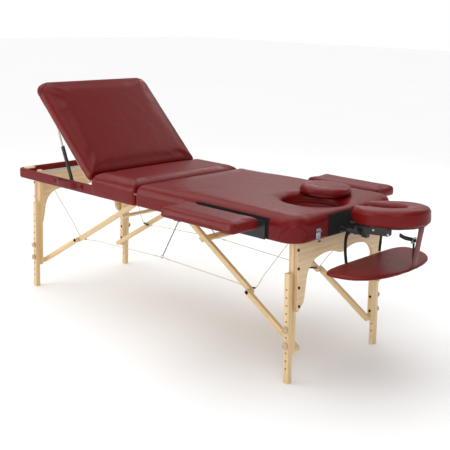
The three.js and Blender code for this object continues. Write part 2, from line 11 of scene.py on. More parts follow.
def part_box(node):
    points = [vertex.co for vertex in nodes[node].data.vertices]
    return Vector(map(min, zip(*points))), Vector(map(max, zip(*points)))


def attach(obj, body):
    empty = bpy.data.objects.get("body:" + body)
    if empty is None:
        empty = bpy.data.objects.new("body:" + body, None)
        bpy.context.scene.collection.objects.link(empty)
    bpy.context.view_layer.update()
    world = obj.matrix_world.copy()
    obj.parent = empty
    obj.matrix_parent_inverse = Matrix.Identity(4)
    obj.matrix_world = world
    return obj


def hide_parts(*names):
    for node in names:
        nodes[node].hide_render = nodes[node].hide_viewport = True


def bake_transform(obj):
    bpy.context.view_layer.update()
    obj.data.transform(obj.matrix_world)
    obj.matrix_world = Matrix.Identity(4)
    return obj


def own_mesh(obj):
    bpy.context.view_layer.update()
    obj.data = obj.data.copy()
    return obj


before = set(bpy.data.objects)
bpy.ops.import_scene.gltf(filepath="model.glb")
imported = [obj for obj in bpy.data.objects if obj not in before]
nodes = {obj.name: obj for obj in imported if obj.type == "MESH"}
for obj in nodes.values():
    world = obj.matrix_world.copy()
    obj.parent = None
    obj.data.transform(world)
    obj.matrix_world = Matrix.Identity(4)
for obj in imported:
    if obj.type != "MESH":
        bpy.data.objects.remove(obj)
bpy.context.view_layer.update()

scene = bpy.context.scene

# Portable massage table: its soft covers, cords, straps and small hardware, round the CAD nodes.
# Pieces are drawn in millimetres with x = 0 at the fold; the frame gives where the fold is.
link_low, link_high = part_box("hinge_link")
FOLD_X = (link_low[0] + link_high[0]) / 2


def place(points, matrix=None):
    """Millimetres about the fold, as metres in the row frame."""
    array = np.array(points, float).reshape(-1, 3)
    if matrix is not None:
        m = np.array(matrix)
        array = array @ m[:3, :3].T + m[:3, 3]
    return array / 1000 + np.array([FOLD_X, 0, 0])


def unplace(points):
    """Metres in the row frame, as millimetres about the fold."""
    return (np.array(points) - np.array([FOLD_X, 0, 0])) * 1000


# Driving dimensions in millimetres, the same as in the CAD model.
HALVES = (("left", -1), ("right", 1))
SIDES = (("near", -1), ("far", 1))
RAIL, FRAME_Z, DECK_TOP, TOP = 16, 587, 645.6, 695
LEG_HINGE_X, LEG_HINGE_Z = {"left": -824, "right": 863}, 617.5
LEG_Y, LEG_THICK = 310.5, 26                  # the lower legs' middle plane and thickness
SPLAY = math.tan(math.radians(1.95))
ELBOW = {"left": (-568.6, 297.2), "right": (609.3, 307.1)}
BRACE_TURN = {"left": 0.5405, "right": -0.5702}

# ---- materials
class Graph:
    """A material whose nodes are added with inputs given as values or as other nodes' sockets."""

    def __init__(self, name, **surface):
        self.material = bpy.data.materials.new(name)
        self.material.use_nodes = True
        self.tree = self.material.node_tree
        self.tree.nodes.clear()
        self.shader = self.make("BsdfPrincipled")
        output = self.make("OutputMaterial")
        self.tree.links.new(self.shader.outputs[0], output.inputs[0])
        self.set(self.shader, surface)

    def set(self, node, inputs):
        for key, value in inputs.items():
            socket = node.inputs[key if isinstance(key, int) else key.replace("_", " ")]
            if isinstance(value, bpy.types.NodeSocket):
                self.tree.links.new(value, socket)
            else:
                socket.default_value = value

    def make(self, kind, props=None, ins=None, **inputs):
        node = self.tree.nodes.new("ShaderNode" + kind)
        for key, value in (props or {}).items():
            setattr(node, key, value)
        self.set(node, ins or {})
        self.set(node, inputs)
        return node

    def coords(self, turn=(0, 0, 0), scale=(1, 1, 1)):
        source = self.make("TexCoord").outputs["Object"]
        turned = self.make("Mapping", Vector=source, Rotation=turn)
        return self.make("Mapping", Vector=turned.outputs[0], Scale=scale).outputs[0]

    def noise(self, vector, scale, detail=3.0, rough=0.55, distortion=0.0):
        return self.make("TexNoise", Vector=vector, Scale=scale, Detail=detail,
                         Roughness=rough, Distortion=distortion).outputs["Fac"]

    def math(self, operation, a, b=0.0):
        return self.make("Math", {"operation": operation}, {0: a, 1: b}).outputs[0]

    def span(self, value, low, high, to_low=0.0, to_high=1.0):
        return self.make("MapRange", ins={0: value, 1: low, 2: high, 3: to_low, 4: to_high}).outputs[0]

    def mix(self, factor, a, b):
        node = self.make("Mix", {"data_type": "RGBA"})
        self.set(node, {0: factor, 6: a, 7: b})
        return node.outputs[2]

    def bump(self, *layers):
        """Layers of (height socket, distance in metres); the last made goes to the shader."""
        normal = None
        for height, distance in layers:
            node = self.make("Bump", Height=height, Distance=distance, Strength=1.0)
            if normal is not None:
                self.set(node, {"Normal": normal})
            normal = node.outputs[0]
        self.set(self.shader, {"Normal": normal})


def rgb(r, g, b):
    return (r, g, b, 1.0)


def vinyl(name, tint=1.0):
    """Upholstery vinyl: pebbled grain, soft mottling and slightly worn, lighter ridges."""
    g = Graph(name, Specular_IOR_Level=0.2)
    here = g.coords()
    blotch = g.noise(here, 9, 4)
    fine = g.noise(here, 70, 5, 0.6)
    deep = g.mix(blotch, rgb(0.138 * tint, 0.0034, 0.0036), rgb(0.166 * tint, 0.0046, 0.0050))
    worn = g.span(g.make("NewGeometry").outputs["Pointiness"], 0.52, 0.60, 0.0, 0.35)
    colour = g.mix(g.span(fine, 0.3, 0.8, 0.0, 0.22), deep, rgb(0.100 * tint, 0.0032, 0.0036))
    g.set(g.shader, {"Base Color": g.mix(worn, colour, rgb(0.22, 0.025, 0.025)),
                     "Roughness": g.span(fine, 0.25, 0.8, 0.29, 0.38)})
    pebble = g.make("TexVoronoi", {"feature": "DISTANCE_TO_EDGE"}, Vector=here, Scale=620.0)
    grain = g.span(pebble.outputs["Distance"], 0.0, 0.28)
    g.bump((g.noise(here, 11, 2), 0.0016), (fine, 0.00012), (grain, 0.00004))
    return g.material


def wood(name, turn, light=(0.82, 0.63, 0.365), dark=(0.68, 0.465, 0.23), ply_axis=None):
    """Varnished wood with grain along the turned x axis; ply_axis adds layered edges."""
    g = Graph(name, Coat_Weight=0.25, Coat_Roughness=0.22)
    streaks = g.noise(g.coords(turn, (2.0, 46, 46)), 1.0, 6, 0.6, 0.25)
    pores = g.noise(g.coords(turn, (14, 420, 420)), 1.0, 2)
    figure = g.coords(turn, (1.1, 8.5, 8.5))
    rings = g.make("TexWave", {"wave_type": "RINGS", "rings_direction": "Y"}, Vector=figure, Scale=1.6,
                   Distortion=5.5, Detail=3.0, Detail_Scale=1.2).outputs["Fac"]
    base = g.mix(g.span(streaks, 0.32, 0.7), rgb(*light), rgb(*dark))
    base = g.mix(g.math("MULTIPLY", rings, 0.28), base, rgb(dark[0] * 0.86, dark[1] * 0.8, dark[2] * 0.7))
    base = g.mix(g.span(pores, 0.62, 0.8, 0.0, 0.45), base, rgb(dark[0] * 0.6, dark[1] * 0.5, dark[2] * 0.4))
    if ply_axis is not None:
        axes = g.make("SeparateXYZ", Vector=g.make("TexCoord").outputs["Object"])
        across = g.make("SeparateXYZ", Vector=g.make("TexCoord").outputs["Normal"])
        layer = g.math("FRACT", g.math("MULTIPLY", axes.outputs[ply_axis], 290.0))
        dark_layer = g.span(layer, 0.48, 0.55)
        edge = g.math("LESS_THAN", g.math("ABSOLUTE", across.outputs[ply_axis]), 0.6)
        stripes = g.mix(dark_layer, rgb(0.72, 0.50, 0.28), rgb(0.40, 0.22, 0.10))
        base = g.mix(edge, base, g.mix(g.span(streaks, 0.2, 0.9, 0.0, 0.4), stripes, rgb(*dark)))
    g.set(g.shader, {"Base Color": base, "Roughness": g.span(streaks, 0.2, 0.8, 0.38, 0.52)})
    g.bump((streaks, 0.00025), (pores, 0.00008))
    return g.material


def dark_coat(name, colour, rough, grain=260.0, distance=0.00006, **more):
    """Black powder coat or moulded plastic: fine texture, faint scuffs lighter than the coat."""
    g = Graph(name, **more)
    here = g.coords()
    speck = g.noise(here, grain, 2)
    scuff = g.noise(g.coords(scale=(30, 90, 30)), 1.0, 5, 0.7)
    lighter = rgb(*[c * 2.6 + 0.01 for c in colour])
    g.set(g.shader, {"Base Color": g.mix(g.span(scuff, 0.58, 0.75, 0.0, 0.5), rgb(*colour), lighter)})
    g.set(g.shader, {"Roughness": g.span(scuff, 0.3, 0.75, rough - 0.06, rough + 0.1)})
    g.bump((speck, distance))
    return g.material


def metal(name, colour, rough):
    """Plated steel, faintly brushed along x."""
    g = Graph(name, Metallic=1.0)
    brushed = g.noise(g.coords(scale=(40, 900, 900)), 1.0, 3)
    patch = g.noise(g.coords(), 35, 4)
    g.set(g.shader, {"Base Color": g.mix(patch, rgb(*colour), rgb(*[c * 0.78 for c in colour]))})
    g.set(g.shader, {"Roughness": g.span(brushed, 0.2, 0.8, rough - 0.07, rough + 0.1)})
    g.bump((brushed, 0.00004))
    return g.material


def woven(name, colour, pitch=520.0, rough=0.75):
    """Woven webbing: two crossed waves, one for each thread direction, with a soft sheen."""
    g = Graph(name, Sheen_Weight=0.06, Sheen_Roughness=0.4, Specular_IOR_Level=0.25)
    here = g.coords(scale=(pitch, pitch, pitch))
    split = g.make("SeparateXYZ", Vector=here)
    warp = g.math("SINE", split.outputs["X"])
    weft = g.math("SINE", split.outputs["Z"])
    weave = g.span(g.math("MULTIPLY", warp, weft), -1, 1)
    fade = g.noise(g.coords(), 120, 3)
    darker, lighter = (rgb(*[c * k for c in colour]) for k in (0.55, 1.7))
    shade = g.mix(g.math("MULTIPLY", weave, 0.6), darker, lighter)
    faded = g.mix(g.math("MULTIPLY", fade, 0.4), shade, rgb(*colour))
    g.set(g.shader, {"Base Color": faded, "Roughness": rough})
    g.bump((weave, 0.00025))
    return g.material


def twisted(name, light, dark, pitch=900.0, rough=0.5):
    """Laid rope or wire: strands run round it at a slant."""
    g = Graph(name)
    split = g.make("SeparateXYZ", Vector=g.coords())
    slant = g.math("ADD", split.outputs[2], g.math("MULTIPLY", split.outputs[0], 0.8))
    slant = g.math("ADD", slant, g.math("MULTIPLY", split.outputs[1], 0.6))
    strand = g.span(g.math("SINE", g.math("MULTIPLY", slant, pitch)), -1, 1)
    stain = g.noise(g.coords(), 60, 3)
    colour = g.mix(strand, rgb(*dark), rgb(*light))
    stained = g.mix(g.math("MULTIPLY", stain, 0.3), colour, rgb(*dark))
    g.set(g.shader, {"Base Color": stained, "Roughness": rough})
    g.bump((strand, 0.0004))
    return g.material


def loop_pile(name):
    """Black hook-and-loop panel: matt, fuzzy and unevenly worn."""
    g = Graph(name, Sheen_Weight=0.06, Sheen_Roughness=0.5, Roughness=0.95, Specular_IOR_Level=0.15)
    fuzz = g.noise(g.coords(), 900, 4, 0.8)
    nap = g.noise(g.coords(), 50, 3)
    tone = g.mix(fuzz, rgb(0.003, 0.003, 0.003), rgb(0.014, 0.013, 0.013))
    g.set(g.shader, {"Base Color": g.mix(g.math("MULTIPLY", nap, 0.5), tone, rgb(0.008, 0.008, 0.008))})
    g.bump((fuzz, 0.0008))
    return g.material


def floor_material():
    """Near-white studio floor."""
    g = Graph("studio_floor", Roughness=0.85)
    cloud = g.noise(g.coords(), 0.8, 2)
    g.set(g.shader, {"Base Color": g.mix(cloud, rgb(0.90, 0.90, 0.90), rgb(0.92, 0.92, 0.92))})
    return g.material


UPRIGHT = (0, math.pi / 2, 0)
VINYL = vinyl("burgundy_vinyl")
VINYL_TRIM = vinyl("burgundy_trim", 0.86)
WOOD_LEG = wood("beech_leg", UPRIGHT)
WOOD_BRACE = {half: wood("beech_brace_" + half, (0, BRACE_TURN[half], 0)) for half, _ in HALVES}
PLY_PANEL = wood("ply_panel", (0, 0, math.pi / 2), (0.80, 0.62, 0.39), (0.66, 0.46, 0.25), ply_axis=0)
PLY_DECK = wood("ply_deck", (0, 0, math.pi / 2), (0.74, 0.57, 0.35), (0.60, 0.42, 0.23), ply_axis=2)
PLY_KNOB = wood("ply_knob", (0, 0, 0.6), (0.60, 0.47, 0.30), (0.44, 0.33, 0.19), ply_axis=1)
BLACK_PLASTIC = dark_coat("black_moulding", (0.012, 0.012, 0.012), 0.42)
BLACK_STEEL = dark_coat("black_powder_coat", (0.016, 0.016, 0.017), 0.36, 420.0, 0.00003, Metallic=0.2)
BOLT_BLACK = dark_coat("black_oxide", (0.010, 0.010, 0.011), 0.33, 700.0, 0.00002, Metallic=0.6)
STEEL = metal("zinc_steel", (0.62, 0.63, 0.64), 0.27)
CABLE = twisted("wire_cable", (0.80, 0.67, 0.53), (0.48, 0.36, 0.25))
ROPE = twisted("braided_rope", (0.34, 0.21, 0.11), (0.13, 0.07, 0.03), 620.0, 0.85)
WEBBING = woven("black_webbing", (0.010, 0.010, 0.011))
LOOP = loop_pile("black_loop_pile")
THREAD = woven("burgundy_thread", (0.20, 0.03, 0.03), 1400.0, 0.6)


# ---- mesh helpers
def dress(piece, material, body=None, slot=None, replaces=()):
    """One material and smooth shading; then what the piece rides on and what it stands in for. The slot is
    not used.
    """
    mesh = piece.data
    mesh.materials.clear()
    mesh.materials.append(material)
    mesh.polygons.foreach_set("use_smooth", [True] * len(mesh.polygons))
    if body:
        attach(piece, body)
    if replaces:
        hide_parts(*replaces)


def finish_object(name, mesh, material, body=None, **more):
    piece = bpy.data.objects.new(name, mesh)
    scene.collection.objects.link(piece)
    dress(piece, material, body, **more)
    return piece


def mesh_from(name, points, faces, matrix=None):
    mesh = bpy.data.meshes.new(name)
    mesh.from_pydata(place(points, matrix).tolist(), [], [list(f) for f in faces])
    mesh.validate()
    mesh.update()
    return mesh


def sharpen(piece, degrees):
    """Smooth shading that keeps the true corners."""
    mesh = piece.data
    b = bmesh.new()
    b.from_mesh(mesh)
    limit = math.radians(degrees)
    for edge in b.edges:
        edge.smooth = not (len(edge.link_faces) == 2 and edge.calc_face_angle(0) > limit)
    b.to_mesh(mesh)
    b.free()
    return piece


def frames_along(points, up=None):
    """Unit tangent, side and normal at each point, carried along without twist."""
    p = np.array(points, float)
    t = np.gradient(p, axis=0)
    t /= np.linalg.norm(t, axis=1)[:, None]
    first = np.array(up if up is not None else (0, 0, 1), float)
    if abs(first @ t[0]) > 0.95:
        first = np.array((0, 1, 0), float)
    n = first - t[0] * (first @ t[0])
    n /= np.linalg.norm(n)
    sides, normals = [], []
    for i in range(len(p)):
        if up is not None and abs(np.dot(up, t[i])) < 0.95:
            n = np.array(up, float)
        n = n - t[i] * (n @ t[i])
        n = n / np.linalg.norm(n)
        normals.append(n)
        sides.append(np.cross(n, t[i]))
    return t, np.array(sides), np.array(normals)


def sweep(name, points, section, material, up=None, closed=False):
    """A closed section, as (side, normal) pairs in millimetres, carried along a path."""
    p = np.array(points, float)
    _, side, normal = frames_along(p, up)
    k = len(section)
    rows = []
    for i in range(len(p)):
        rows += [p[i] + side[i] * a + normal[i] * b for a, b in section]
    faces = []
    last = len(p) if closed else len(p) - 1
    for i in range(last):
        j = (i + 1) % len(p)
        faces += [(i * k + a, i * k + (a + 1) % k, j * k + (a + 1) % k, j * k + a) for a in range(k)]
    if not closed:
        faces += [tuple(reversed(range(k))), tuple((len(p) - 1) * k + a for a in range(k))]
    return finish_object(name, mesh_from(name, rows, faces), material)


def circle(radius, count):
    return [(radius * math.cos(2 * math.pi * i / count), radius * math.sin(2 * math.pi * i / count))
            for i in range(count)]


def flat_section(width, thick, r=None, steps=3):
    """A strap's section: a flat rectangle whose edges are rolled, or rounded by r."""
    r = thick / 2 if r is None else r
    out = []
    for cx, cy, start in ((width / 2 - r, thick / 2 - r, 0), (-width / 2 + r, thick / 2 - r, 90),
                          (-width / 2 + r, -thick / 2 + r, 180), (width / 2 - r, -thick / 2 + r, 270)):
        for i in range(steps + 1):
            a = math.radians(start + 90 * i / steps)
            out.append((cx + r * math.cos(a), cy + r * math.sin(a)))
    return out


def curve_through(points, count):
    """A smooth path through the points, by Catmull-Rom, evenly spaced."""
    p = np.array(points, float)
    ends = np.vstack([2 * p[0] - p[1], p, 2 * p[-1] - p[-2]])
    dense = []
    for i in range(1, len(ends) - 2):
        a, b, c, d = ends[i - 1:i + 3]
        for t in np.linspace(0, 1, 24, endpoint=False):
            dense.append(0.5 * (2 * b + (c - a) * t + (2 * a - 5 * b + 4 * c - d) * t ** 2
                                + (3 * b - a - 3 * c + d) * t ** 3))
    dense = np.array(dense + [p[-1]])
    lengths = np.concatenate([[0], np.cumsum(np.linalg.norm(np.diff(dense, axis=0), axis=1))])
    at = np.linspace(0, lengths[-1], count)
    return np.stack([np.interp(at, lengths, dense[:, k]) for k in range(3)], 1)


def axis_matrix(at, axis):
    """Turns +Z to the axis and moves the origin there, in millimetres."""
    turn = Vector((0, 0, 1)).rotation_difference(Vector(axis)).to_matrix().to_4x4()
    return Matrix.Translation(Vector(at)) @ turn


def lathe(name, profile, at, axis, material, count=24, wobble=None, base=None):
    """(radius, height) pairs turned about an axis; wobble(angle) scales the radius for lobes or flats."""
    rows, faces = [], []
    for r, h in profile:
        for i in range(count):
            a = 2 * math.pi * i / count
            s = wobble(a) if wobble and r > 0.3 * max(q[0] for q in profile) else 1.0
            rows.append((r * s * math.cos(a), r * s * math.sin(a), h))
    for j in range(len(profile) - 1):
        for i in range(count):
            n = (i + 1) % count
            faces.append((j * count + i, j * count + n, (j + 1) * count + n, (j + 1) * count + i))
    faces.append(tuple(reversed(range(count))))
    faces.append(tuple((len(profile) - 1) * count + i for i in range(count)))
    matrix = axis_matrix(at, axis)
    if base is not None:
        matrix = base @ matrix
    return sharpen(finish_object(name, mesh_from(name, rows, faces, matrix), material), 50)


def rounded_box(name, low, high, radius, material, matrix=None):
    """A box between two corners, with rounded edges."""
    b = bmesh.new()
    bmesh.ops.create_cube(b, size=1)
    low, high = np.array(low, float), np.array(high, float)
    for v in b.verts:
        v.co = Vector((low + high) / 2 + np.array(v.co) * (high - low))
    bmesh.ops.bevel(b, geom=b.edges[:], offset=radius, segments=3, profile=0.5, affect="EDGES")
    return from_bmesh(name, b, material, matrix)


def from_bmesh(name, b, material, matrix=None, **more):
    bmesh.ops.recalc_face_normals(b, faces=b.faces[:])
    co = place([v.co for v in b.verts], matrix)
    for v, c in zip(b.verts, co):
        v.co = c
    mesh = bpy.data.meshes.new(name)
    b.to_mesh(mesh)
    b.free()
    return sharpen(finish_object(name, mesh, material, **more), 40)


def merge(name, pieces, body=None, **more):
    """One piece from several that share a body; each part keeps its material."""
    b = bmesh.new()
    materials = []
    for piece in pieces:
        material = piece.data.materials[0]
        if material not in materials:
            materials.append(material)
        start = len(b.faces)
        b.from_mesh(piece.data)
        b.faces.ensure_lookup_table()
        for face in b.faces[start:]:
            face.material_index = materials.index(material)
    mesh = bpy.data.meshes.new(name)
    b.to_mesh(mesh)
    b.free()
    for piece in pieces:
        bpy.data.objects.remove(piece)
    indices = [p.material_index for p in mesh.polygons]
    joined = finish_object(name, mesh, materials[0], body, **more)
    for extra in materials[1:]:
        mesh.materials.append(extra)
    mesh.polygons.foreach_set("material_index", indices)
    return sharpen(joined, 50)


# ---- padded covers
def rounded_rect(x0, x1, y0, y1, radii, steps=10):
    """Outline as a function of inset. Radii are in the order (x0,y0), (x1,y0), (x1,y1), (x0,y1)."""
    def outline(inset):
        a0, a1, b0, b1 = x0 + inset, x1 - inset, y0 + inset, y1 - inset
        out = []
        corners = ((a0, b0, 1, 1, 180), (a1, b0, -1, 1, 270), (a1, b1, -1, -1, 0), (a0, b1, 1, -1, 90))
        for (cx, cy, sx, sy, start), r in zip(corners, radii):
            r = max(r - inset, 1.5)
            for i in range(steps + 1):
                a = math.radians(start + 90 * i / steps)
                out.append((cx + sx * r + r * math.cos(a), cy + sy * r + r * math.sin(a)))
        return out
    return outline


def oval(x, y, a, b, sign=1, count=64):
    """Outline of an ellipse; sign -1 is a hole, which grows as the inset grows."""
    def outline(inset):
        return [(x + (a - sign * inset) * math.cos(2 * math.pi * i / count),
                 y + (b - sign * inset) * math.sin(2 * math.pi * i / count)) for i in range(count)]
    return outline


def add_loft(b, loops, levels):
    """A closed solid between an outline and optional holes, at (inset, height) levels."""
    rings = []
    for inset, z in levels:
        rings.append([[b.verts.new((x, y, z)) for x, y in loop(inset)] for loop in loops])
    for low, high in zip(rings, rings[1:]):
        for ring_a, ring_b in zip(low, high):
            n = len(ring_a)
            for i in range(n):
                b.faces.new((ring_a[i], ring_a[(i + 1) % n], ring_b[(i + 1) % n], ring_b[i]))
    for level in (rings[0], rings[-1]):
        edges = []
        for ring in level:
            for i in range(len(ring)):
                pair = (ring[i], ring[(i + 1) % len(ring)])
                edges.append(b.edges.get(pair) or b.edges.new(pair))
        bmesh.ops.triangle_fill(b, use_beauty=True, edges=edges)


def round_levels(z0, z1, top, bottom, steps=5):
    """Levels of a side that is rounded over at the top and tucked under at the bottom."""
    out = []
    for i in range(steps + 1):
        a = math.pi / 2 * i / steps
        out.append((bottom * (1 - math.sin(a)), z0 + bottom * (1 - math.cos(a))))
    for i in range(steps + 1):
        a = math.pi / 2 * i / steps
        out.append((top * (1 - math.cos(a)), z1 - top + top * math.sin(a)))
    return out


def evaluated_mesh(piece):
    graph = bpy.context.evaluated_depsgraph_get()
    graph.update()
    return bpy.data.meshes.new_from_object(piece.evaluated_get(graph))


def apply_modifiers(piece):
    mesh = evaluated_mesh(piece)
    piece.modifiers.clear()
    piece.data = mesh


def coordinates(mesh):
    co = np.zeros(len(mesh.vertices) * 3)
    mesh.vertices.foreach_get("co", co)
    return co.reshape(-1, 3)


def normals_of(mesh):
    out = np.zeros(len(mesh.vertices) * 3)
    mesh.vertices.foreach_get("normal", out)
    return out.reshape(-1, 3)


CLOTH_PRESSURE, CLOTH_FRAMES, SETTLE_STEPS = 4.0, 20, 9
SEAM_DEPTH, SEAM_WIDTH = 2.2, 3.2


def inflate(piece, pinned, cap):
    """A short cloth simulation: the cover swells against its pinned part, by no more than the cap."""
    mesh = piece.data
    start = coordinates(mesh)
    group = piece.vertex_groups.new(name="pin")
    held = [i for i, p in enumerate(start) if pinned(p)]
    if held:
        group.add(held, 1.0, "REPLACE")
    cloth = piece.modifiers.new("cloth", "CLOTH")
    settings = cloth.settings
    settings.quality = 4
    settings.mass = 0.25
    settings.tension_stiffness = settings.compression_stiffness = 18
    settings.shear_stiffness = 8
    settings.bending_stiffness = 1.5
    settings.effector_weights.gravity = 0
    settings.use_pressure = True
    settings.uniform_pressure_force = CLOTH_PRESSURE
    if held:
        settings.vertex_group_mass = "pin"
    cloth.collision_settings.use_collision = False
    cloth.collision_settings.use_self_collision = False
    cloth.point_cache.frame_start, cloth.point_cache.frame_end = 1, CLOTH_FRAMES
    for f in range(1, CLOTH_FRAMES + 1):
        scene.frame_set(f)
    after = coordinates(evaluated_mesh(piece))
    piece.modifiers.clear()
    piece.vertex_groups.clear()
    scene.frame_set(1)
    move = after - start
    size = np.linalg.norm(move, axis=1)[:, None] + 1e-9
    move = move / size * (cap * np.tanh(size / cap))
    mesh.vertices.foreach_set("co", (start + move).ravel())
    mesh.update()


def groove(mesh, seams, depth, width):
    """Pulls the cover in along each seam, which is a dense path in the row frame."""
    points = np.vstack(seams)
    tree = KDTree(len(points))
    for i, p in enumerate(points):
        tree.insert(p, i)
    tree.balance()
    co, out = coordinates(mesh), normals_of(mesh)
    low, high = points.min(0) - 3 * width, points.max(0) + 3 * width
    near = np.where(np.all((co > low) & (co < high), axis=1))[0]
    for i in near:
        distance = tree.find(co[i])[2]
        if distance < 3 * width:
            co[i] -= out[i] * depth * math.exp(-((distance / width) ** 2))
    mesh.vertices.foreach_set("co", co.ravel())
    mesh.update()


def padded_cover(name, lofts, voxel, body, replaces, matrix=None, pin_below=-math.inf, cap=5.0,
                 clip=None, smooth=4, seams=()):
    """Lofts are merged, remeshed, swelled as cloth and subdivided; seams are then pulled in.

    Below pin_below, measured up the cover's own z axis, the cover is held still while it swells.
    """
    b = bmesh.new()
    for loops, levels in lofts:
        add_loft(b, loops, levels)
    if clip:
        for v in b.verts:
            v.co = Vector(clip(*v.co))
    bmesh.ops.recalc_face_normals(b, faces=b.faces[:])
    heights = np.array([v.co for v in b.verts])
    to_row = np.array(place([(0, 0, 0), (0, 0, 1)], matrix))
    up = to_row[1] - to_row[0]
    up = up / np.linalg.norm(up)
    for v, c in zip(b.verts, place(heights, matrix)):
        v.co = c
    mesh = bpy.data.meshes.new(name)
    b.to_mesh(mesh)
    b.free()
    piece = finish_object(name, mesh, VINYL)
    remesh = piece.modifiers.new("remesh", "REMESH")
    remesh.mode = "VOXEL"
    remesh.voxel_size = voxel / 1000
    relax = piece.modifiers.new("relax", "SMOOTH")
    relax.factor, relax.iterations = 0.5, smooth
    apply_modifiers(piece)
    inflate(piece, lambda p: (p - to_row[0]) @ up < pin_below / 1000, cap / 1000)
    settle = piece.modifiers.new("settle", "SMOOTH")
    settle.factor, settle.iterations = 0.5, SETTLE_STEPS
    apply_modifiers(piece)
    divide = piece.modifiers.new("divide", "SUBSURF")
    divide.levels = divide.render_levels = 1
    apply_modifiers(piece)
    paths = [place(curve_through(s, 90), matrix) for s in seams]
    if paths:
        groove(piece.data, project(piece, paths), SEAM_DEPTH / 1000, SEAM_WIDTH / 1000)
    dress(piece, VINYL, body, "vinyl", replaces)
    return piece


def surface_tree(piece):
    mesh = piece.data
    polygons = [tuple(p.vertices) for p in mesh.polygons]
    return BVHTree.FromPolygons([v.co for v in mesh.vertices], polygons)


def project(piece, paths, lift=0.0):
    """Each path moved onto the piece's surface, lifted along the surface normal in metres."""
    tree = surface_tree(piece)
    out = []
    for path in paths:
        rows = []
        for p in path:
            spot, normal, _, _ = tree.find_nearest(Vector(p))
            rows.append(np.array(spot + normal * lift))
        out.append(np.array(rows))
    return out


def welts(name, target, seams, body, radius, matrix=None, count=90):
    """A fine raised cord in each seam of a cover."""
    parts = []
    for n, seam in enumerate(seams):
        path = project(target, [place(curve_through(seam, count), matrix)], 0.0002)[0]
        parts.append(sweep(f"{name}_{n}", unplace(path), circle(radius, 8), VINYL_TRIM))
    return merge(name, parts, body=body, slot="vinyl")


# ---- camera, light and floor
# The camera was solved from the photo: a place in millimetres, angles in degrees, a lens for a 36 mm sensor.
CAMERA_AT = (2878.0, -2876.3, 1467.8)
AZIMUTH, ELEVATION, ROLL = (math.radians(v) for v in (42.60, 14.10, 1.479))
camera_data = bpy.data.cameras.new("camera")
camera_data.lens = 68.784
camera_data.sensor_width = 36
camera = bpy.data.objects.new("camera", camera_data)
back = Vector((math.sin(AZIMUTH) * math.cos(ELEVATION), -math.cos(AZIMUTH) * math.cos(ELEVATION),
               math.sin(ELEVATION)))
level_right = Vector((math.cos(AZIMUTH), math.sin(AZIMUTH), 0))
level_up = back.cross(level_right)
right = level_right * math.cos(ROLL) + level_up * math.sin(ROLL)
up = -level_right * math.sin(ROLL) + level_up * math.cos(ROLL)
camera.matrix_world = Matrix.Translation(Vector(place([CAMERA_AT])[0])) @ Matrix(
    (right, up, back)).transposed().to_4x4()
scene.collection.objects.link(camera)
scene.camera = camera


def area_light(name, at, aim, size, power):
    data = bpy.data.lights.new(name, "AREA")
    data.shape = "RECTANGLE"
    data.size, data.size_y = size
    data.energy = power
    light = bpy.data.objects.new(name, data)
    light.location = at
    light.rotation_euler = (Vector(aim) - Vector(at)).to_track_quat("-Z", "Y").to_euler()
    scene.collection.objects.link(light)


area_light("key", (-0.4, 3.1, 3.0), (-0.1, 0, 0.7), (2.6, 1.2), 16)
area_light("rim", (-2.3, 3.2, 2.9), (0.6, 0, 0.7), (0.7, 0.5), 7)
area_light("fill", (3.0, -3.2, 2.4), (0.2, 0, 0.5), (1.8, 1.4), 30)
area_light("low", (-2.5, -3.3, 1.35), (-0.1, 0, 0.55), (1.8, 0.9), 34)
sun_data = bpy.data.lights.new("sun", "SUN")
sun_data.energy, sun_data.angle = 2.2, 1.4
sun = bpy.data.objects.new("sun", sun_data)
sun.rotation_euler = Vector((-0.30, -0.12, 0.94)).to_track_quat("Z", "Y").to_euler()
scene.collection.objects.link(sun)

# The sky is white at the horizon and darker overhead, the same on every side.
world = bpy.data.worlds.new("studio")
world.use_nodes = True
tree = world.node_tree
sky = tree.nodes["Background"]
direction = tree.nodes.new("ShaderNodeTexCoord")
split = tree.nodes.new("ShaderNodeSeparateXYZ")
ramp = tree.nodes.new("ShaderNodeMapRange")
for key, value in {"From Min": 0.05, "From Max": 0.17, "To Min": 1.0, "To Max": 0.40}.items():
    ramp.inputs[key].default_value = value
tree.links.new(direction.outputs["Generated"], split.inputs[0])
tree.links.new(split.outputs["Z"], ramp.inputs["Value"])
tree.links.new(ramp.outputs["Result"], sky.inputs["Strength"])
sky.inputs["Color"].default_value = (1, 1, 1, 1)
scene.world = world
scene.view_settings.view_transform = "Standard"

floor_mesh = bpy.data.meshes.new("floor")
REACH = 30
floor_corners = [(x * REACH, y * REACH, -0.0005) for x, y in ((-1, -1), (1, -1), (1, 1), (-1, 1))]
floor_mesh.from_pydata(floor_corners, [], [(0, 1, 2, 3)])
floor = finish_object("floor", floor_mesh, floor_material())

# ---- carried-over CAD nodes
WOOD_NODES = {}
for half, _ in HALVES:
    for name, _ in SIDES:
        WOOD_NODES[f"{half}_upper_leg_{name}"] = WOOD_LEG
        WOOD_NODES[f"{half}_lower_leg_{name}"] = WOOD_LEG
        WOOD_NODES[f"{half}_lower_brace_{name}"] = WOOD_BRACE[half]
    WOOD_NODES[f"{half}_upper_brace"] = WOOD_BRACE[half]
    WOOD_NODES[f"{half}_end_panel"] = PLY_PANEL
    WOOD_NODES[f"{half}_deck"] = PLY_DECK
WOOD_NODES.update({"corner_block_near": PLY_DECK, "corner_block_far": PLY_DECK, "backrest_board": PLY_DECK})
OTHER_NODES = {
    **dict.fromkeys(("hinge_link", "left_leg_rod", "right_leg_rod", "end_latch"), STEEL),
    **{f"strut_bar_{name}": STEEL for name, _ in SIDES},
    **{f"{part}_{name}": BLACK_STEEL for part in ("strut_channel", "armrest_bracket") for name, _ in SIDES},
    "cradle_base": BLACK_STEEL, "cradle_platform": BLACK_PLASTIC, "cradle_cam": BLACK_PLASTIC,
}
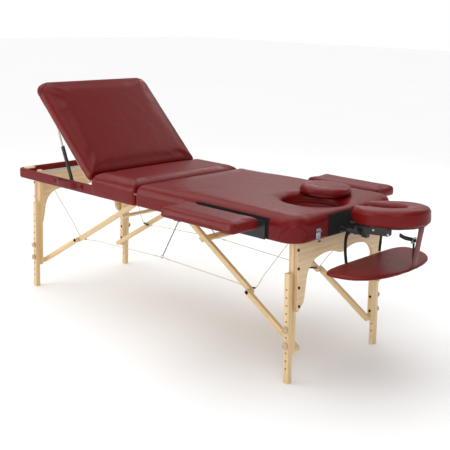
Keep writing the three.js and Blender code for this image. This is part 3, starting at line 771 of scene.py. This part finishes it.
WOOD_EDGE, METAL_EDGE = 1.3, 0.7              # widths of eased edges, but for the nodes below
EASED = {"backrest_board": 0.6, "cradle_platform": 0.8, "cradle_cam": 1.2, "end_latch": 0.5,
         "hinge_link": 0.4}
for name, material in {**WOOD_NODES, **OTHER_NODES}.items():
    node = nodes[name]
    node.data.materials.clear()
    node.data.materials.append(material)
    weld = node.modifiers.new("weld", "WELD")
    weld.merge_threshold = 0.00005
    ease = node.modifiers.new("ease", "BEVEL")
    ease.width = EASED.get(name, WOOD_EDGE if name in WOOD_NODES else METAL_EDGE) / 1000
    ease.segments = 2
    ease.limit_method = "ANGLE"
    ease.angle_limit = math.radians(38)
    ease.use_clamp_overlap = True
    ease.harden_normals = False


# ---- covers of the two halves
FOLD_SIDE, SIDE_Y, INNER_Y = 2, 356, 337.5
SKIRT = ((0, FRAME_Z - 1.5), (0, 662))        # (inset, height) levels of the cloth over the rails
SLAB = (DECK_TOP + 0.6, TOP)
HOLE_AT, HOLE_RADII = (735, 0), (133, 118)
LINING_OUT, LINING_IN = 3.7, -2.5             # where its outer and inner faces lie from the hole's edge
BEVEL = math.tan(math.radians(30))


def corner_arch(centre, signs, radius, z_low, z_top, inset=0.0):
    """The seam of a rounded corner's gusset: up one side, over the corner and down the other."""
    out = []
    for t in np.linspace(0, 1, 17):
        a = math.radians(-9 + 108 * t)
        rise = math.sin(math.pi * t) ** 0.55
        r = radius + 1 - inset * rise ** 3
        out.append((centre[0] + signs[0] * r * math.cos(a), centre[1] + signs[1] * r * math.sin(a),
                    z_low + (z_top - z_low) * rise))
    return out


def outward(outline):
    """The same outline growing with the inset, as the inner edge of a hollow loft."""
    return lambda inset: outline(-inset)


ring_out = rounded_rect(FOLD_SIDE, 928, -SIDE_Y, SIDE_Y, (4, 72, 72, 4))
ring_in = rounded_rect(FOLD_SIDE + RAIL + 3, 909, -INNER_Y, INNER_Y, (4, 54, 54, 4))
head_seams = [corner_arch((856, s * 284), (1, s), 72, 592, 671) for s in (-1, 1)]
right_cover = padded_cover(
    "right_cover",
    [([ring_out, oval(*HOLE_AT, *HOLE_RADII, -1)], round_levels(*SLAB, 29, 2)),
     ([ring_out, outward(ring_in)], SKIRT)],
    8, "right_half", ("right_cushion", "right_frame"), pin_below=652, cap=6.0, seams=head_seams)

BACK_HINGE = (-320, 0, 662)
SEAT_END = BACK_HINGE[0] + 2
strips = [(SEAT_END, s * 348.5 - 9, s * 348.5 + 9) for s in (-1, 1)] + [(-20, -352, 352)]
left_skirts = [([rounded_rect(x0, -FOLD_SIDE, y0, y1, (3,) * 4, 3)], SKIRT) for x0, y0, y1 in strips]


def left_bevel(x, y, z):
    """Slants the seat's end, to clear the backrest when it lies flat."""
    return max(x, SEAT_END + max(z - BACK_HINGE[2], 0) * BEVEL), y, z


seat_out = rounded_rect(SEAT_END, -FOLD_SIDE, -357.5, 357.5, (3, 4, 4, 3))
padded_cover(
    "left_cover", [([seat_out], round_levels(*SLAB, 29, 2))] + left_skirts,
    8, "left_half", ("left_cushion",), pin_below=652, cap=6.0, clip=left_bevel)

wrap_out = rounded_rect(-927, -5, -355, 355, (30, 3, 3, 30))
wrap_in = rounded_rect(-908, -21, -INNER_Y, INNER_Y, (13, 3, 3, 13))
padded_cover(                                 # drawn tight over the rails: all of it is pinned
    "left_frame_wrap", [([wrap_out, outward(wrap_in)], round_levels(FRAME_Z - 0.5, 638.4, 3, 2))],
    6, "left_half", ("left_frame",), pin_below=math.inf, cap=0.2, smooth=3)

lining = bmesh.new()
add_loft(lining, [oval(*HOLE_AT, *(r + LINING_OUT for r in HOLE_RADII)),
                  oval(*HOLE_AT, *(r + LINING_IN for r in HOLE_RADII), -1)], [(0, 606), (0, 652)])
from_bmesh("face_hole_lining", lining, VINYL_TRIM, body="right_half", slot="vinyl")

# ---- backrest, drawn flat about its hinge
BACK = Matrix.Translation(BACK_HINGE) @ Matrix.Rotation(math.radians(44.2), 4, "Y")
back_out = rounded_rect(-607, -2, -356, 356, (64, 3, 3, 64))
back_in = rounded_rect(-586, -18, -336, 336, (44, 3, 3, 44))


def back_bevel(x, y, z):
    """Slants the backrest's lower end the other way."""
    return min(x, -2 - max(z, 0) * BEVEL), y, z


back_seams = [corner_arch((-545, s * 294), (-1, s), 62, -18, 34, 26) for s in (-1, 1)]
back_cover = padded_cover(
    "backrest_cover",
    [([back_out], round_levels(-12, 33, 27, 2)),
     ([back_out, outward(back_in)], [(-2, -23.8), (-2, -6), (1, 2)])],
    8, "backrest", ("backrest_cushion",), matrix=BACK, pin_below=-8, cap=7.0, clip=back_bevel,
    seams=back_seams)

# ---- small pads
plug = padded_cover("face_plug_pad", [([oval(698, 139, 120, 104)], round_levels(TOP + 1, 734, 17, 12))],
                    5, "face_plug", ("face_plug",), pin_below=699)
PAD_X, PAD_Y = (386, 790), (408, 562)
arm_pads = {}
for near_far, s in SIDES:
    y0, y1 = sorted(s * y for y in PAD_Y)
    arm_pads[near_far] = padded_cover(
        f"armrest_pad_{near_far}_cover",
        [([rounded_rect(*PAD_X, y0, y1, (15,) * 4)], round_levels(643.4, 688, 11, 5))],
        5, f"armrest_{near_far}", (f"armrest_pad_{near_far}",), pin_below=650, cap=4.0)


CRADLE_X, CRADLE_RADII, SLOT = 1126, (157, 134), 44
MOUTH = math.pi - 0.62                        # the angle at which the pad's outer edge turns into the slot


def horseshoe(inset):
    """The cradle pad's outline: an oval with a slot, rounded at its mouth, and a hole at the slot's end."""
    a, b = (radius - inset for radius in CRADLE_RADII)
    slot = SLOT + inset
    low = CRADLE_X - a
    out = [(CRADLE_X + a * math.cos(t), b * math.sin(t)) for t in np.linspace(-MOUTH, MOUTH, 60)]
    bend = ((low + 8, slot + 24), (low + 6, slot), (low + 34, slot))
    side = [tuple((1 - t) ** 2 * a + 2 * t * (1 - t) * b + t * t * c for a, b, c in zip(*bend))
            for t in np.linspace(0, 1, 8)] + [(1102, slot + 4)]
    hole = [(CRADLE_X - 4 + (66 + inset) * math.cos(t), (50 + inset) * math.sin(t))
            for t in np.linspace(math.pi / 2, -math.pi / 2, 24)]
    return out + side + hole + [(x, -y) for x, y in reversed(side)]


CRADLE_PIVOT = Vector((1050, 0, 642))
TILT = (Matrix.Translation(CRADLE_PIVOT) @ Matrix.Rotation(math.radians(-4.5), 4, "Y")
        @ Matrix.Translation(-CRADLE_PIVOT))
cradle_pad = padded_cover(
    "cradle_pad_cover", [([lambda inset: horseshoe(inset - 4)], round_levels(662, 726, 17, 5))],
    5, "cradle_head", ("cradle_pad",), matrix=TILT)


def bezier(a, b, c, d, count):
    """Points on a cubic curve, without its last one."""
    return [tuple((1 - t) ** 3 * p + 3 * t * (1 - t) ** 2 * q + 3 * t * t * (1 - t) * r + t ** 3 * w
                  for p, q, r, w in zip(a, b, c, d)) for t in np.linspace(0, 1, count, endpoint=False)]


SHELF_X, SHELF_HALF = (996, 1228), 292


def shelf_outline(inset):
    """The arm shelf: nearly straight towards the table, bowed away from it."""
    x0, x1, w = SHELF_X[0] + inset, SHELF_X[1] - inset, SHELF_HALF - inset
    end = x0 + 44
    half = bezier((x0, -150), (x0 + 1, -w + 60), (x0 + 12, -w + 12), (end, -w), 12)
    half += bezier((end, -w), (x1 - 68, -w), (x1, -210), (x1, 0), 24)
    return half + [(x1, 0)] + [(x, -y) for x, y in reversed(half)]


padded_cover("arm_shelf_cover", [([shelf_outline], round_levels(482.2, 495.6, 6, 5))],
             4.5, "cradle", ("arm_shelf",), cap=1.5, smooth=3)

# ---- hardware on the visible faces
def middle(node):
    """The centre of a node's or body's box, in millimetres."""
    low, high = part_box(node)
    return unplace((np.array(low) + np.array(high)) / 2)


def hit(node, at, direction):
    """Where a straight line, from a point in millimetres, first meets a node."""
    return unplace(surface_tree(nodes[node]).ray_cast(Vector(place([at])[0]), Vector(direction))[0])


def faceted(sides):
    """Turns a circle into a regular polygon, as a radius factor."""
    step = 2 * math.pi / sides
    return lambda a: math.cos(step / 2) / math.cos(a % step - step / 2)


HEX_BOLT = [(7.0, -0.4), (7.0, 0.9), (5.4, 1.1), (5.4, 4.4), (4.6, 5.0)]
DOME = [(6.2, -0.4), (6.2, 0.6), (5.7, 2.2), (4.2, 3.3), (2.1, 3.9), (2.0, 3.0), (0.4, 3.0)]
WASHER = [(8.5, -0.3), (8.5, 1.0), (7.9, 1.4), (4.0, 1.4)]


def bolt(name, at, axis, material, size=1.0, kind=DOME, base=None):
    profile = [(r * size, h * size) for r, h in kind]
    wobble = faceted(6) if kind is HEX_BOLT else None
    return lathe(name, profile, at, axis, material, wobble=wobble, base=base)


# Turned plywood knobs with ten flats.
KNOB = [(6.5, 0), (6.5, 3.6), (10.5, 3.8), (13.0, 4.6), (14.0, 6.2), (14.0, 9.6), (13.0, 11.2), (10.6, 11.8),
        (4.6, 11.8), (4.0, 11.2), (3.6, 10.6), (0.5, 10.6)]
STUD = [(3.2, -1), (3.2, 0.8), (2.4, 1.5), (0.5, 1.7)]
for half, _ in HALVES:
    for near_far, s in SIDES:
        for n in (1, 2):
            body = f"{half}_knob_{near_far}_{n}"
            low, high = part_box(body)
            at = middle(body)
            at[1] = unplace(low if s > 0 else high)[1]
            parts = [lathe(body + "_wheel", KNOB, at, (0, s, 0), PLY_KNOB, count=40, wobble=faceted(10))]
            parts.append(lathe(body + "_stud", STUD, at + np.array([0, s * 10.5, 0]), (0, s, 0), STEEL))
            merge(body + "_turned", parts, body=body, slot="plywood", replaces=(body,))

# Bolts of the end panels and legs, and the pins of the braces.
PANEL_LEAN = 0.034                            # slope of the end panels' faces
BRACE_FACE = 264.2                            # the lower braces' outer face, in y
for half, side in HALVES:
    legs = f"{half}_legs"
    heads = []
    for s in (-1, 1):
        for y, z in ((296, 560), (293, 484), (289, 405), (286, 327)):
            at = hit(f"{half}_end_panel", (side * 1100, s * y, z), (-side, 0, 0))
            heads.append(bolt("bolt", at, (side, 0, PANEL_LEAN), BOLT_BLACK, size=1.05))
    merge(f"{half}_panel_bolts", heads, body=legs, slot="black_steel")
    for near_far, s in SIDES:
        heads = []
        for n in (1, 2):
            x, _, z = middle(f"{half}_knob_{near_far}_{n}")
            at = hit(f"{half}_upper_leg_{near_far}", (x, s * 200, z), (0, s, 0))
            heads.append(bolt("bolt", at, (0, -s, 0), BOLT_BLACK))
        merge(f"{half}_leg_bolts_{near_far}", heads, body=legs, slot="black_steel")
        x, z = ELBOW[half]
        brace = f"{half}_lower_brace_{near_far}"
        merge(f"{brace}_pin", [
            lathe("washer", WASHER, (x, s * BRACE_FACE, z), (0, s, 0), BOLT_BLACK),
            bolt("bolt", (x, s * (BRACE_FACE + 1.2), z), (0, s, 0), BOLT_BLACK, kind=HEX_BOLT),
        ], body=brace, slot="black_steel")

# Painted shade in the height holes of the lower legs, on both faces: dark wood plugs with rims, a dark disc
# over each hole and a darker ring round its edge.
HOLE_SHADE_WOOD = wood("painted_hole_shade", UPRIGHT, (0.30, 0.13, 0.045), (0.16, 0.06, 0.02))
HOLES, FIRST_HOLE_Z, HOLE_PITCH = 11, 63, 33.3
KNOB_HOLES = (3, 5)                           # a knob covers the outer end of each
HOLE_RIM = [(3.0, -2.5), (3.35, -2.5), (4.1, 0.05), (3.9, 0.25), (3.0, 0.1)]
for half, side in HALVES:
    for near_far, s in SIDES:
        rims = []
        for n in range(HOLES):
            z = FIRST_HOLE_Z + HOLE_PITCH * n
            x = LEG_HINGE_X[half] + side * (LEG_HINGE_Z - z) * SPLAY
            for out in (-1,) if n in KNOB_HOLES else (-1, 1):
                at = (x, s * (LEG_Y + out * LEG_THICK / 2), z)
                rims.append(lathe("rim", HOLE_RIM, at, (0, s * out, 0), HOLE_SHADE_WOOD, count=16))
        leg = f"{half}_lower_leg_{near_far}"
        merge(leg + "_hole_shade_plugs", rims, body=leg, slot="beech")

# ---- cables and rope
RING_X, RING_Z = 8, {"near": 318, "far": 345}
CORNER_Y, ELBOW_Y, RING_Y = 262, 217, 192
ROPE_TOP = (-4, 3, 577)


def straight(a, b, count):
    return [tuple(np.array(a) + (np.array(b) - np.array(a)) * t) for t in np.linspace(0, 1, count)]


def ring(at, radius, count):
    """A circle in the y-z plane."""
    return [(at[0], at[1] + radius * math.cos(t), at[2] + radius * math.sin(t))
            for t in np.linspace(0, 2 * math.pi, count, False)]


for half, side in HALVES:
    for near_far, s in SIDES:
        corner = (LEG_HINGE_X[half] - side * 14, s * CORNER_Y, LEG_HINGE_Z - 14)
        elbow = (ELBOW[half][0], s * ELBOW_Y, ELBOW[half][1] + 8)
        end = (RING_X + side * 1.2, s * RING_Y, RING_Z[near_far])
        path = curve_through(straight(corner, elbow, 5)[:-1] + straight(elbow, end, 6), 70)
        name = f"{half}_cable_{near_far}"
        parts = [sweep("cord", path, circle(1.7, 8), CABLE)]
        bend = np.argmin(np.linalg.norm(path - np.array(elbow), axis=1))
        sleeve = straight(path[bend - 1], path[bend + 2], 4)
        parts.append(sweep("clamp", sleeve, flat_section(9, 7, 2), BLACK_PLASTIC))
        for a, b in ((0, 1), (65, 67)):
            parts.append(sweep("ferrule", straight(path[a], path[b], 3), circle(3.0, 10), STEEL))
        tube = merge(name + "_wire", parts, body=f"{half}_half", slot="coated_wire", replaces=(name,))
        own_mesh(tube)

rope_path = []
for near_far, s in SIDES:
    x, y, z = ROPE_TOP
    fall = straight((x, s * y, z), (RING_X, s * (RING_Y - 6), RING_Z[near_far] + 6), 6)
    rope_path += list(reversed(fall)) if s < 0 else fall
rope_parts = [sweep("rope", curve_through(rope_path, 90), circle(2.4, 9), ROPE)]
for near_far, s in SIDES:
    at = (RING_X, s * (RING_Y - 2), RING_Z[near_far] + 2)
    rope_parts.append(sweep("ring", ring(at, 8, 20), circle(1.6, 8), STEEL, closed=True))
rope = merge("centre_rope_line", rope_parts, body="left_half", slot="rope", replaces=("centre_rope",))
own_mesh(rope)

# ---- handle, straps and buckle
grip = [(-607, -357.4, 618), (-575, -357.8, 618), (-560, -366, 618), (-543, -375, 618), (-494, -377.3, 618),
        (-446, -375, 618), (-429, -366, 618), (-414, -357.8, 618), (-382, -357.4, 618)]
handle_parts = [sweep("strap", curve_through(grip, 60), flat_section(31, 4.2), VINYL_TRIM, up=(0, -1, 0))]
for x in (-598, -391):
    handle_parts.append(bolt("stud", (x, -359.3, 618), (0, -1, 0), BOLT_BLACK, size=0.9))
for dz in (-12, 12):
    edge = curve_through([(x, y - 2.1, z + dz) for x, y, z in grip], 90)
    for k in range(2, 86, 3):
        handle_parts.append(sweep("stitch", [edge[k], (edge[k] + edge[k + 2]) / 2, edge[k + 2]],
                                  circle(0.5, 6), THREAD))
merge("carry_handle_strap", handle_parts, body="left_half", slot="vinyl", replaces=("carry_handle",))

near_strap = curve_through([(958, -62, 613), (962, -62, 622.5), (972, -66, 620), (974, -76, 610),
                            (982, -98, 582), (1000, -122, 540), (1020, -140, 501)], 40)
merge("shelf_strap_near_web", [
    sweep("web", near_strap, flat_section(20, 1.8), WEBBING, up=(1, 0, 0.2)),
    sweep("loop", ring((968, -62, 613), 10.2, 24), flat_section(20, 1.8), WEBBING, up=(1, 0, 0), closed=True),
], body="cradle", slot="webbing", replaces=("shelf_strap_near",))

far_path = curve_through([(1246, 28, 668), (1243, 29, 640), (1232, 34, 580), (1219, 40, 500)], 40)
band = sweep("band", far_path, flat_section(44, 2.6), VINYL_TRIM, up=(1, 0, 0.3))
far_strap = merge("shelf_strap_far_band", [band], slot="vinyl", replaces=("shelf_strap_far",))
start, end = place([(1243, 29, 640), (1222, 38, 520)])
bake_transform(far_strap)

# ---- piping and seams on the covers
welts("right_cover_seams", right_cover, head_seams, "right_half", 0.7)
welts("backrest_seams", back_cover, back_seams, "backrest", 0.7, matrix=BACK)


def ring_seam(outline, inset, z):
    loop = outline(inset)
    return [(x, y, z) for x, y in loop + loop[:1]]


cradle_seam = ring_seam(horseshoe, -4, 709)[:60]
welts("cradle_pad_welt", cradle_pad, [cradle_seam], "cradle_head", 0.9, matrix=TILT, count=160)
welts("face_plug_welt", plug, [ring_seam(oval(698, 138, 119, 104), 0, 712)], "face_plug", 0.8, count=160)
for near_far, s in SIDES:
    corners = [(x, s * y) for x in (PAD_X[0] + 3, PAD_X[1] - 3) for y in (PAD_Y[0] + 2, PAD_Y[1] - 2)]
    rims = [[(x, y, z) for z in (646, 660, 674, 686)] for x, y in corners]
    welts(f"armrest_{near_far}_seams", arm_pads[near_far], rims, f"armrest_{near_far}", 0.5, count=24)


# ---- black panels, latch and cradle fittings
PANEL_LIFT, PANEL_THICK = 0.1, 1.4


def loop_panel(name, grid):
    """A thin panel on the right cover: a grid of points moved to its surface, then lifted off it."""
    rows, columns = len(grid), len(grid[0])
    flat = place([p for row in grid for p in row])
    lifts = (PANEL_LIFT, PANEL_LIFT + PANEL_THICK)
    points = unplace(np.vstack([project(right_cover, [flat], lift / 1000)[0] for lift in lifts]))
    n = rows * columns
    faces = []
    for i in range(rows - 1):
        for j in range(columns - 1):
            a, d = i * columns + j, (i + 1) * columns + j
            b, c = a + 1, d + 1
            faces += [(a, d, c, b), (a + n, b + n, c + n, d + n)]
    rim = list(range(columns)) + [i * columns + columns - 1 for i in range(1, rows)]
    rim += [(rows - 1) * columns + j for j in range(columns - 2, -1, -1)]
    rim += [i * columns for i in range(rows - 2, 0, -1)]
    for a, b in zip(rim, rim[1:] + rim[:1]):
        faces.append((a, b, b + n, a + n))
    sharpen(finish_object(name, mesh_from(name, points, faces), LOOP, "right_half", slot="webbing"), 50)


head_grid = [[(931, y, z) for y in np.linspace(-146, 146, 40)] for z in np.linspace(589, 690, 16)]
loop_panel("head_loop_panel", head_grid)
for near_far, s in SIDES:
    side_grid = [[(x, s * 360, z) for x in np.linspace(388, 792, 60)] for z in np.linspace(589, 684, 14)]
    loop_panel(f"side_loop_panel_{near_far}", side_grid)

latch_parts = [rounded_box("plate", (929.5, -228, 600), (931.5, -200, 640), 0.8, STEEL)]
for y, z in ((-222, 634), (-206, 634), (-222, 606), (-206, 606)):
    latch_parts.append(bolt("screw", (931.2, y, z), (1, 0, 0), STEEL, size=0.5))
merge("latch_plate", latch_parts, body="right_half", slot="steel")

BUSH = [(9.2, 0), (13.5, 0.2), (13.5, 2.6), (12.4, 3.6), (9.2, 3.8)]
bushes = [lathe("bush", BUSH, (930.5, s * 62, 613), (1, 0, 0), BLACK_PLASTIC) for s in (-1, 1)]
merge("cradle_rod_bushes", bushes, body="right_half", slot="black_plastic")

bracket_bolts = [bolt("bolt", (x, s * 116, z), (0, s, 0), STEEL, size=0.9, base=TILT)
                 for s in (-1, 1) for x, z in ((1186, 636), (1050, 642), (1120, 648))]
merge("cradle_bracket_bolts", bracket_bolts, body="cradle_head", slot="steel")

mid_strap = curve_through([(1012, 131, 640), (1006, 131, 600), (1001, 131, 545), (999, 131, 497)], 24)
buckle_strap = curve_through([(1222, -92, 650), (1216, -40, 628), (1208, 40, 602), (1203, 52, 580),
                              (1203, 60, 500)], 40)
strap_parts = [
    sweep("mid", mid_strap, flat_section(19, 1.8), WEBBING, up=(1, 0, 0.1)),
    sweep("buckled", buckle_strap, flat_section(16, 1.8), WEBBING, up=(1, 0, 0.2)),
]
for dz in (-9, 9):
    strap_parts.append(rounded_box("bar", (1204, 26, 600 + dz), (1212, 56, 603 + dz), 0.9, STEEL))
for y in (26, 53):
    strap_parts.append(rounded_box("bar", (1204, y, 591), (1212, y + 3, 612), 0.9, STEEL))
hung = merge("shelf_straps_extra", strap_parts, slot="webbing")
start, end = place([(1150, 0, 640), (1150, 0, 545)])
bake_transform(hung)

# Brackets that hold the strut heads under the backrest.
for near_far, s in SIDES:
    y0, y1 = sorted((s * 319.5, s * 322.5))
    parts = [rounded_box("plate", (-384, y0, -46), (-352, y1, -21.6), 0.8, BLACK_STEEL, matrix=BACK)]
    f0, f1 = sorted((s * 300, s * 322.5))
    parts.append(rounded_box("flange", (-388, f0, -24.2), (-348, f1, -21.6), 0.8, BLACK_STEEL, matrix=BACK))
    pin = [(4, 0), (4, 13), (2.5, 13.6)]
    parts.append(lathe("pin", pin, (-367.8, s * 319, -36.7), (0, s, 0), STEEL, base=BACK))
    merge(f"strut_bracket_{near_far}", parts, body="backrest", slot="black_steel")
